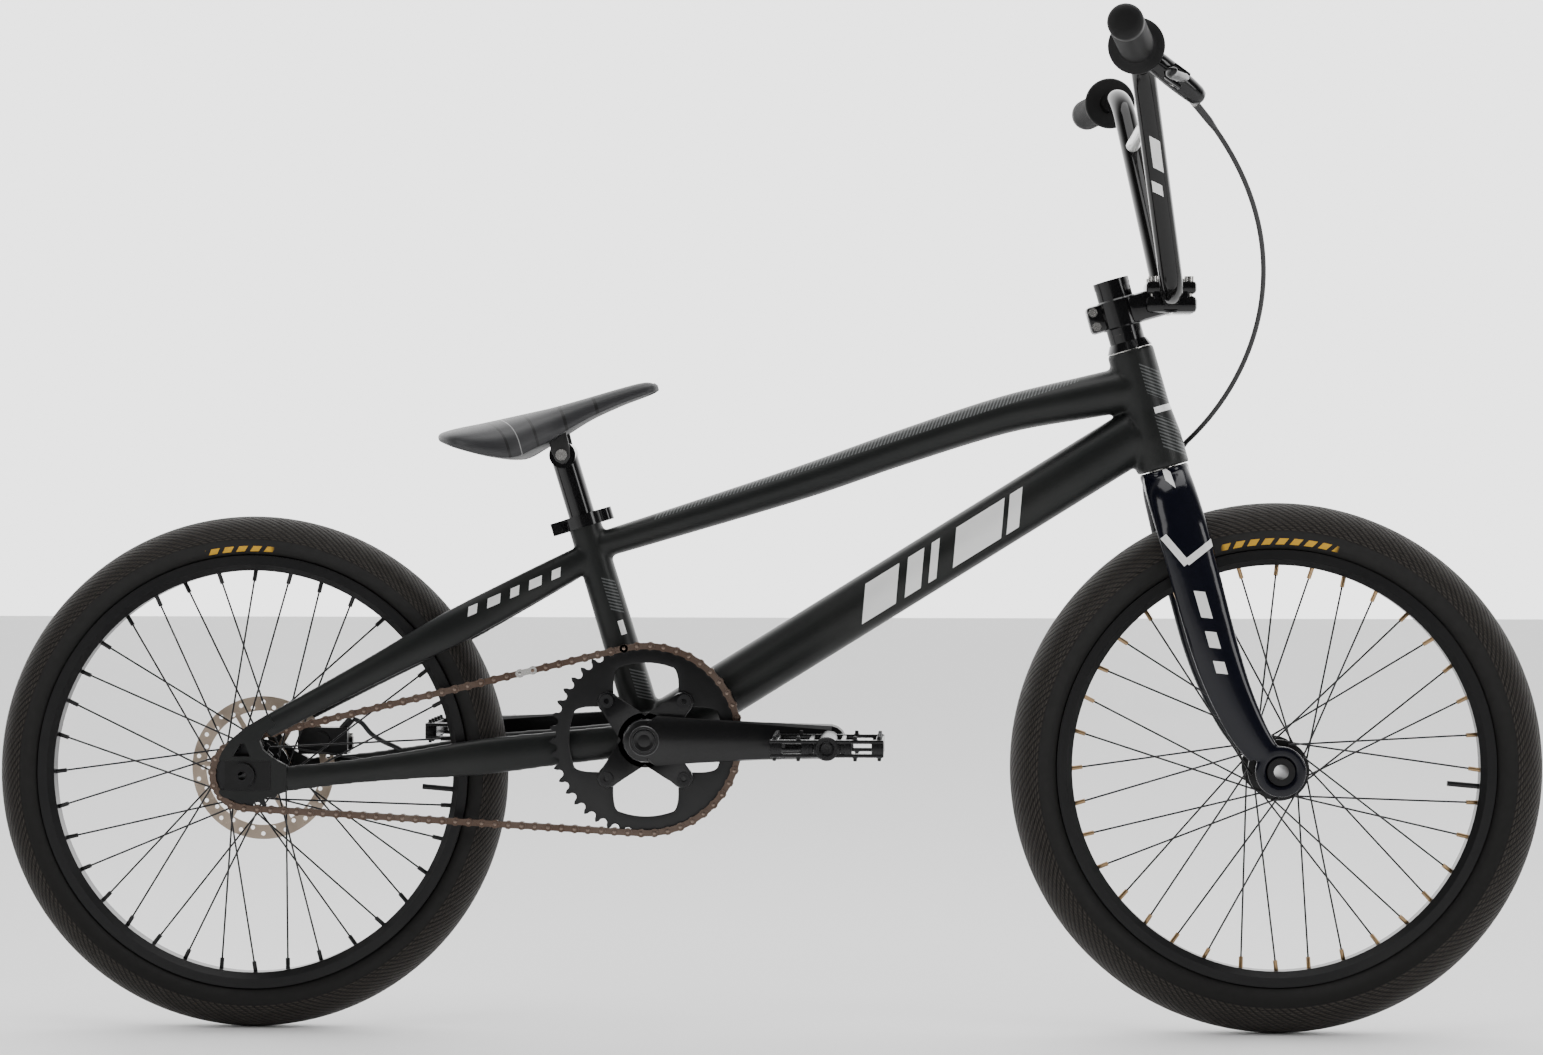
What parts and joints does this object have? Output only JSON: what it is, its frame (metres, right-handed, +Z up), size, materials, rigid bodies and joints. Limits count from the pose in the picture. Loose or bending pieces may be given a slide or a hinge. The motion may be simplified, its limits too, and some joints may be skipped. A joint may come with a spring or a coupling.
{
  "type": "bmx bike",
  "caption": "Race BMX bicycle with wire spoke wheels, riser handlebar, single speed chain drive, rear disc brake and slim saddle.",
  "frame": {"origin": "on the floor, midway between the back of the rear tyre and the front of the front tyre, on the bike's centre plane", "axes": "+X forward, +Y to the rider's left, +Z up; the chain drive is on the -Y side"},
  "size_m": [1.48, 0.7382, 0.9386],
  "materials": {
    "frame_paint": "satin",
    "fork_paint": "gloss",
    "black_alloy": "black anodised",
    "bar_steel": "gloss",
    "crossbar_sleeve": "gloss",
    "steel_bright": "bright",
    "steel_dark": "blackened",
    "bronze": "bronze",
    "chain_steel": "bronze brown",
    "rotor_steel": "brushed",
    "pad_metal": "sintered",
    "tyre_rubber": "matt",
    "grip_rubber": "matt",
    "hose_plastic": "satin",
    "valve_brass": "plated",
    "saddle_skin": "satin",
    "saddle_shell": "satin"
  },
  "bodies": {
    "frame": {"head_tube": "frame_paint", "top_tube": "frame_paint", "down_tube": "frame_paint", "seat_tube": "frame_paint", "bb_shell": "frame_paint", "bb_cups": "black_alloy", "seat_stays": "frame_paint", "chain_stays": "frame_paint", "dropouts": "frame_paint", "axle_blocks": "black_alloy", "rear_axle": "black_alloy", "seat_clamp": "black_alloy", "headset_bearings": "steel_bright", "brake_caliper": "black_alloy", "brake_pads": "pad_metal", "caliper_bolts": "steel_bright", "brake_hose": "hose_plastic", "chain": "chain_steel"},
    "seat": {"seat_post": "black_alloy", "saddle_base": "saddle_shell", "saddle_cover": "saddle_skin", "seat_bolt": "steel_bright"},
    "steering": {"steerer": "steel_bright", "fork": "fork_paint", "headset_cover": "black_alloy", "spacers": "black_alloy", "stem": "black_alloy", "stem_cap": "black_alloy", "stem_bolts": "steel_bright", "top_cap": "black_alloy", "handlebar": "bar_steel", "crossbar": "crossbar_sleeve", "grips": "grip_rubber", "lever_body": "black_alloy", "lever_pivot": "steel_bright", "front_axle": "black_alloy"},
    "lever": {"brake_lever": "black_alloy"},
    "front_wheel": {"front_tyre": "tyre_rubber", "front_rim": "black_alloy", "front_spokes": "steel_dark", "front_nipples": "bronze", "front_hub": "black_alloy", "front_valve": "valve_brass"},
    "rear_wheel": {"rear_tyre": "tyre_rubber", "rear_rim": "black_alloy", "rear_spokes": "steel_dark", "rear_nipples": "steel_dark", "rear_hub": "black_alloy", "rear_valve": "valve_brass", "brake_rotor": "rotor_steel", "rotor_bolts": "steel_bright"},
    "sprocket": {"cog": "steel_dark"},
    "crankset": {"crank_spindle": "steel_bright", "crank_arm_right": "black_alloy", "crank_arm_left": "black_alloy", "chainring": "black_alloy", "chainring_bolts": "steel_bright", "pedal_axles": "steel_bright"},
    "right_pedal": {"pedal_right": "black_alloy"},
    "left_pedal": {"pedal_left": "black_alloy"}
  },
  "joints": [
    {"name": "steer", "type": "hinge", "parent": "frame", "child": "steering", "pos_m": [0.38021, 0, 0.53893], "axis": [-0.2723, 0, 0.9622], "range_deg": [-75, 75], "deforming": ["brake_hose"]},
    {"name": "brake_lever_pull", "type": "hinge", "parent": "steering", "child": "lever", "pos_m": [0.37759, -0.21531, 0.88657], "axis": [-0.5948, 0, -0.8039], "range_deg": [0, 18], "stiffness_Nm_per_rad": 1.2, "springref_deg": -20.05},
    {"name": "front_wheel_spin", "type": "hinge", "parent": "steering", "child": "front_wheel", "pos_m": [0.487, 0, 0.253], "axis": [0, 1, 0], "continuous": true},
    {"name": "rear_wheel_spin", "type": "hinge", "parent": "frame", "child": "rear_wheel", "pos_m": [-0.494, 0, 0.246], "axis": [0, 1, 0], "continuous": true},
    {"name": "crank_spin", "type": "hinge", "parent": "frame", "child": "crankset", "pos_m": [-0.112, 0, 0.2804], "axis": [0, 1, 0], "continuous": true, "deforming": ["chain"]},
    {"name": "cog_spin", "type": "hinge", "parent": "frame", "child": "sprocket", "pos_m": [-0.494, 0, 0.246], "axis": [0, 1, 0], "continuous": true, "deforming": ["chain"]},
    {"name": "pedal_right_spin", "type": "hinge", "parent": "crankset", "child": "right_pedal", "pos_m": [0.063, 0, 0.2804], "axis": [0, 1, 0], "continuous": true},
    {"name": "pedal_left_spin", "type": "hinge", "parent": "crankset", "child": "left_pedal", "pos_m": [-0.287, 0, 0.2804], "axis": [0, 1, 0], "continuous": true},
    {"name": "seat_height", "type": "slide", "parent": "frame", "child": "seat", "axis": [-0.2924, 0, 0.9563], "range_m": [-0.03, 0.06]}
  ],
  "couplings": [
    {"joint": "cog_spin", "follows": "crank_spin", "ratio": 2.75}
  ]
}
